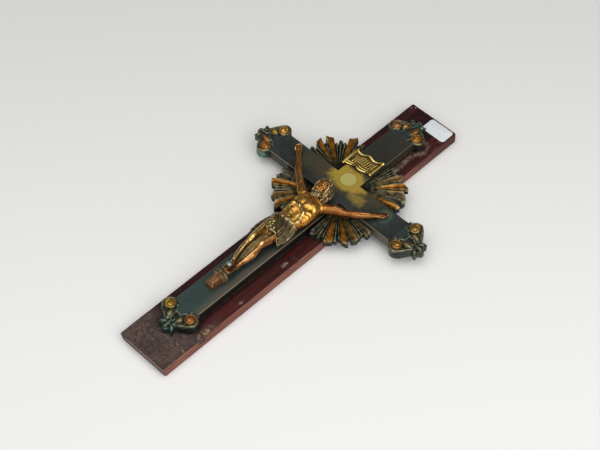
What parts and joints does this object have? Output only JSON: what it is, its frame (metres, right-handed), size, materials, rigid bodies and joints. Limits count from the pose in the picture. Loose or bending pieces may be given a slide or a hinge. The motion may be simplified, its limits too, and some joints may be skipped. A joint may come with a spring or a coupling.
{
  "type": "crucifix",
  "caption": "Bronze crucifix with cast figure, ray fans, scroll ends and a title scroll, screwed to a flat wooden back board that rests or hangs on its back.",
  "frame": {"origin": "back face of the board, under the cross's centre line and at the middle of the board's length", "axes": "+X across the arms, +Y along the upright toward the head end, +Z from the back of the board to the figure"},
  "size_m": [0.1956, 0.3527, 0.0389],
  "materials": {
    "board_wood": "worn dark red-brown lacquer",
    "cross_bronze": "dark green-black patina",
    "scroll_bronze": "dark patina rubbed to copper and gold on the bosses",
    "ray_bronze": "worn gilding over dark patina",
    "title_brass": "yellow brass with dark recesses",
    "figure_bronze": "warm copper-gold bronze, dark in the recesses",
    "rest_bronze": "red-brown bronze",
    "nail_steel": "dull bare steel",
    "rivet_copper": "dull copper, filed flush",
    "pin_brass": "plain drawn rod",
    "screw_steel": "dull steel",
    "label_paper": "smooth white paper"
  },
  "bodies": {
    "root": {"back_board": "board_wood", "upright_beam": "cross_bronze", "crossbar": "cross_bronze", "head_terminal": "scroll_bronze", "foot_terminal": "scroll_bronze", "left_terminal": "scroll_bronze", "right_terminal": "scroll_bronze", "upper_left_rays": "ray_bronze", "upper_right_rays": "ray_bronze", "lower_left_rays": "ray_bronze", "lower_right_rays": "ray_bronze", "title_scroll": "title_brass", "corpus_figure": "figure_bronze", "corpus_right_arm": "figure_bronze", "corpus_left_arm": "figure_bronze", "foot_rest": "rest_bronze", "hand_nails": "nail_steel", "foot_nail": "nail_steel", "terminal_rivets": "rivet_copper", "ray_pins": "pin_brass", "beam_screws": "screw_steel", "crossing_screw": "screw_steel", "paper_label": "label_paper"}
  },
  "joints": []
}
